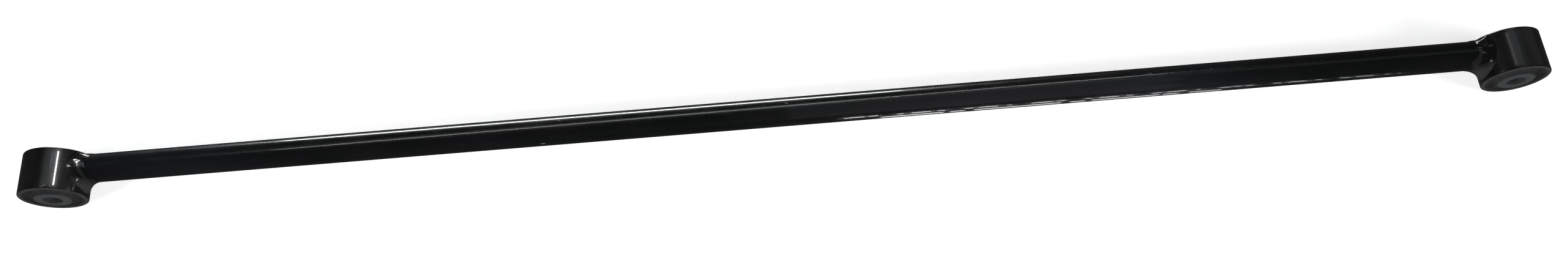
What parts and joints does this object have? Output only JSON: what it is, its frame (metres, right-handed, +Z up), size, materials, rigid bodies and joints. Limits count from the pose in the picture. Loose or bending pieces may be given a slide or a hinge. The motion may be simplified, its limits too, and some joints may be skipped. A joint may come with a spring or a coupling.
{
  "type": "vehicle sway bar",
  "caption": "Straight steel rod with a rubber-bushed eye welded to each end, which holds an axle or arm sideways on two parallel bolts.",
  "frame": {"origin": "midway between the two bolt axes, at their height and at the middle of the eyes' width", "axes": "+X along the rod from the left eye to the right eye, +Y along the bolt axes to the faces that the tube runs beside, +Z up"},
  "size_m": [1.043, 0.033, 0.043],
  "materials": {
    "rod_paint": "glossy black paint with slight orange peel",
    "eye_paint": "glossy black paint",
    "weld_paint": "glossy black paint over a rippled weld",
    "shell_steel": "thin black paint on steel",
    "bush_rubber": "matt moulded rubber",
    "sleeve_steel": "dull turned steel with a thin coat of paint overspray"
  },
  "bodies": {
    "rod": {"rod_tube": "rod_paint", "left_eye": "eye_paint", "right_eye": "eye_paint", "left_weld": "weld_paint", "right_weld": "weld_paint", "left_bush_shell": "shell_steel", "right_bush_shell": "shell_steel"},
    "left_rubber": {"left_bush_rubber": "bush_rubber"},
    "left_sleeve": {"left_bush_sleeve": "sleeve_steel"},
    "right_rubber": {"right_bush_rubber": "bush_rubber"},
    "right_sleeve": {"right_bush_sleeve": "sleeve_steel"}
  },
  "joints": [
    {"name": "left_bush_tilt", "type": "hinge", "parent": "rod", "child": "left_rubber", "pos_m": [-0.5, 0, 0], "axis": [0, 0, 1], "range_deg": [-3.5, 3.5], "stiffness_Nm_per_rad": 250, "deforming": ["left_bush_rubber"]},
    {"name": "left_bush_twist", "type": "hinge", "parent": "left_rubber", "child": "left_sleeve", "pos_m": [-0.5, 0, 0], "axis": [0, 1, 0], "range_deg": [-15, 15], "stiffness_Nm_per_rad": 80},
    {"name": "right_bush_tilt", "type": "hinge", "parent": "rod", "child": "right_rubber", "pos_m": [0.5, 0, 0], "axis": [0, 0, 1], "range_deg": [-3.5, 3.5], "stiffness_Nm_per_rad": 250, "deforming": ["right_bush_rubber"]},
    {"name": "right_bush_twist", "type": "hinge", "parent": "right_rubber", "child": "right_sleeve", "pos_m": [0.5, 0, 0], "axis": [0, 1, 0], "range_deg": [-15, 15], "stiffness_Nm_per_rad": 80}
  ]
}
